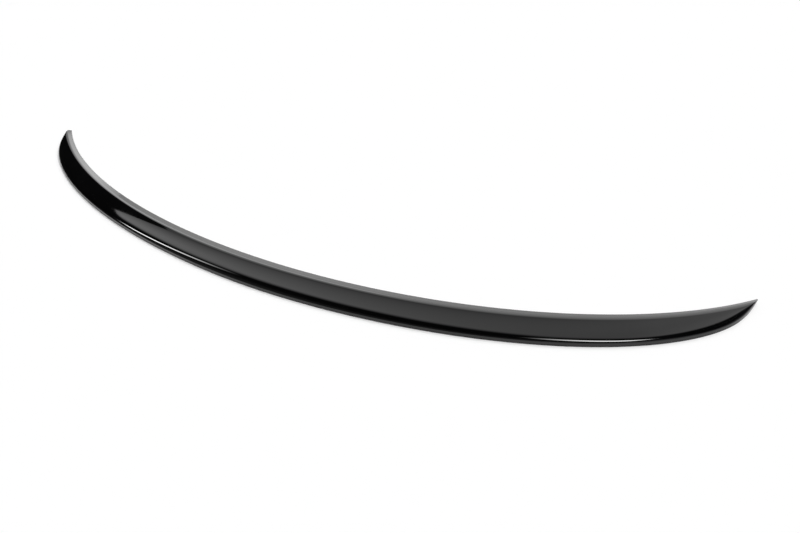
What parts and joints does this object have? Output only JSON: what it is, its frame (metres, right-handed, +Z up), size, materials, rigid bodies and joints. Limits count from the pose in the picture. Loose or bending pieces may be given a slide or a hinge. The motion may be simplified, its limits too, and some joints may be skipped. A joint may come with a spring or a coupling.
{
  "type": "car rear spoiler",
  "caption": "Slim gloss black lip spoiler for a boot lid: a moulded crescent with pointed tips, a soft crest along its top and a ribbed, open underside with flat bonding lands.",
  "frame": {"origin": "under the middle of the part's box, on the plane of the bonding lands", "axes": "+X along the span to the right as seen from behind the car, +Y to the front of the car, +Z up from the boot lid"},
  "size_m": [1.2, 0.195, 0.012],
  "materials": {
    "gloss_black": "high gloss"
  },
  "bodies": {
    "root": {"spoiler_body": "gloss_black"}
  },
  "joints": []
}
